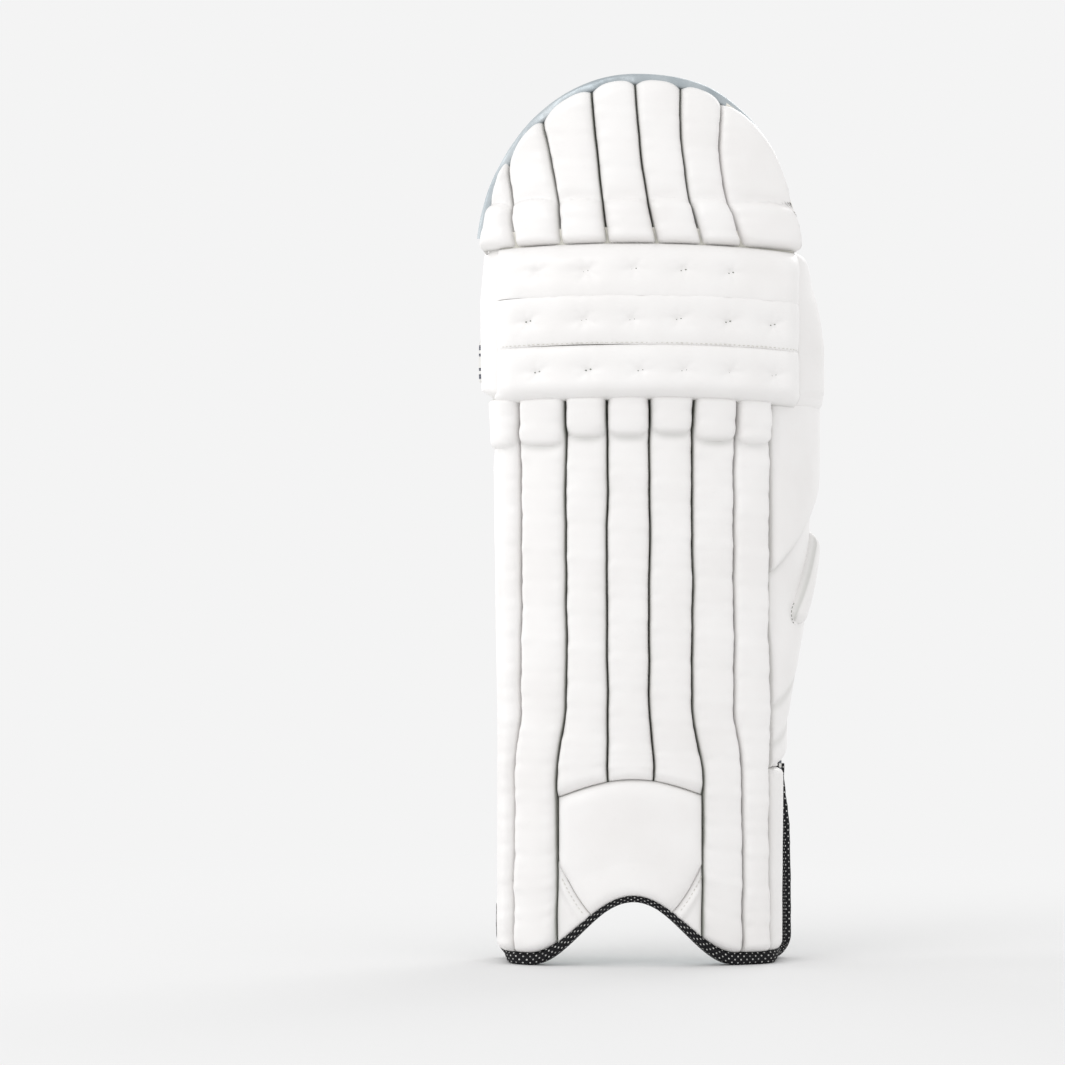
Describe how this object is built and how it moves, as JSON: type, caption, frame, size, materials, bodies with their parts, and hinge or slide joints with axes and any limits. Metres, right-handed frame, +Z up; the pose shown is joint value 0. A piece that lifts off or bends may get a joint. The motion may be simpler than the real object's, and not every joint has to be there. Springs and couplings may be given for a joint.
{
  "type": "cricket leg pad",
  "caption": "Batting leg pad with cane-ribbed shin, padded knee rolls, rounded top hat, side wing, ankle arch and striped webbing straps on buckle rings.",
  "frame": {"origin": "on the floor, under the middle of the bounding box of the pad standing on its hem", "axes": "+Z up from the hem to the top hat; -Y is the way the face of the pad looks; +X is the wing side"},
  "size_m": [0.2923, 0.1812, 0.7499],
  "materials": {
    "face_leather": "semi-gloss white coated leather with a fine grain",
    "backing": "plain backing cloth",
    "blue_mesh": "light blue air mesh",
    "silver_satin": "silver satin coated cloth",
    "cream_lining": "cream perforated lining leather",
    "beige_mesh": "beige air mesh",
    "hem_tape": "black binding tape with small white dots",
    "edge_binding": "white folded edge binding",
    "silver_piping": "glossy silver piping",
    "loop_pile": "white loop pile",
    "webbing": "ribbed white webbing with grey stripes",
    "label_cloth": "blank cream woven label",
    "ring_plastic": "glossy white moulded plastic",
    "cane": "split cane"
  },
  "bodies": {
    "shin": {"shin_shell": "backing", "ankle_side_wall": "face_leather", "shin_roll_1": "face_leather", "shin_roll_2": "face_leather", "shin_roll_3": "face_leather", "shin_roll_4": "face_leather", "shin_roll_5": "face_leather", "shin_roll_6": "face_leather", "shin_roll_7": "face_leather", "shin_canes": "cane", "instep_shield": "face_leather", "instep_corners": "face_leather", "ankle_bolster_medial": "blue_mesh", "ankle_bolster_centre": "blue_mesh", "ankle_bolster_wing": "blue_mesh", "shin_bolster_medial": "cream_lining", "shin_bolster_centre": "silver_satin", "shin_bolster_wing": "cream_lining", "bolster_mesh_ends": "beige_mesh", "hem_binding": "hem_tape", "shin_side_panel": "face_leather", "medial_edge_binding": "edge_binding", "loop_patches_shin": "loop_pile"},
    "wing": {"wing_panel": "face_leather", "wing_feather_1": "face_leather", "wing_feather_2": "face_leather", "wing_feather_3": "face_leather", "wing_feather_4": "face_leather", "wing_edge_binding": "edge_binding", "wing_lining": "cream_lining", "tab_calf": "webbing", "tab_ankle": "webbing"},
    "knee": {"knee_shell": "backing", "knee_roll_upper": "face_leather", "knee_roll_middle": "face_leather", "knee_roll_lower": "face_leather", "knee_side_medial": "face_leather", "knee_side_wing": "face_leather", "knee_pad_medial": "cream_lining", "knee_pad_centre": "silver_satin", "knee_pad_wing": "cream_lining", "tab_knee": "webbing", "loop_patch_knee": "loop_pile"},
    "top_hat": {"top_hat_shell": "backing", "top_hat_roll_1": "face_leather", "top_hat_roll_2": "face_leather", "top_hat_roll_3": "face_leather", "top_hat_roll_4": "face_leather", "top_hat_roll_5": "face_leather", "top_hat_roll_6": "face_leather", "top_hat_roll_7": "face_leather", "top_hat_lining": "silver_satin", "top_hat_piping": "silver_piping"},
    "ring_knee": {"ring_knee": "ring_plastic"},
    "ring_calf": {"ring_calf": "ring_plastic"},
    "ring_ankle": {"ring_ankle": "ring_plastic"},
    "strap_knee": {"strap_knee": "webbing"},
    "strap_calf": {"strap_calf": "webbing", "strap_label": "label_cloth"},
    "strap_ankle": {"strap_ankle": "webbing"}
  },
  "joints": [
    {"name": "knee_flex", "type": "hinge", "parent": "shin", "child": "knee", "pos_m": [-0.0155, -0.0565, 0.48], "axis": [-1, 0, 0], "range_deg": [0, 9], "stiffness_Nm_per_rad": 10, "springref_deg": -2.86},
    {"name": "top_hat_flex", "type": "hinge", "parent": "knee", "child": "top_hat", "pos_m": [-0.0155, -0.055, 0.606], "axis": [-1, 0, 0], "range_deg": [-4, 12], "stiffness_Nm_per_rad": 6},
    {"name": "wing_flex", "type": "hinge", "parent": "shin", "child": "wing", "pos_m": [0.0983, -0.024, 0.32], "axis": [0, 0, -1], "range_deg": [0, 14], "stiffness_Nm_per_rad": 2, "springref_deg": -5.73},
    {"name": "ring_knee_turn", "type": "hinge", "parent": "knee", "child": "ring_knee", "pos_m": [0.119, 0.066, 0.509], "axis": [0, 0, -1], "range_deg": [0, 60]},
    {"name": "strap_knee_open", "type": "hinge", "parent": "ring_knee", "child": "strap_knee", "pos_m": [0.0993, 0.0694, 0.509], "axis": [0, 0, -1], "range_deg": [0, 110]},
    {"name": "ring_calf_turn", "type": "hinge", "parent": "wing", "child": "ring_calf", "pos_m": [0.088, 0.076, 0.365], "axis": [0, 0, -1], "range_deg": [0, 60]},
    {"name": "strap_calf_open", "type": "hinge", "parent": "ring_calf", "child": "strap_calf", "pos_m": [0.0683, 0.0794, 0.365], "axis": [0, 0, -1], "range_deg": [0, 110]},
    {"name": "ring_ankle_turn", "type": "hinge", "parent": "wing", "child": "ring_ankle", "pos_m": [0.07, 0.058, 0.184], "axis": [0, 0, -1], "range_deg": [0, 60]},
    {"name": "strap_ankle_open", "type": "hinge", "parent": "ring_ankle", "child": "strap_ankle", "pos_m": [0.0503, 0.0614, 0.184], "axis": [0, 0, -1], "range_deg": [0, 110]}
  ]
}
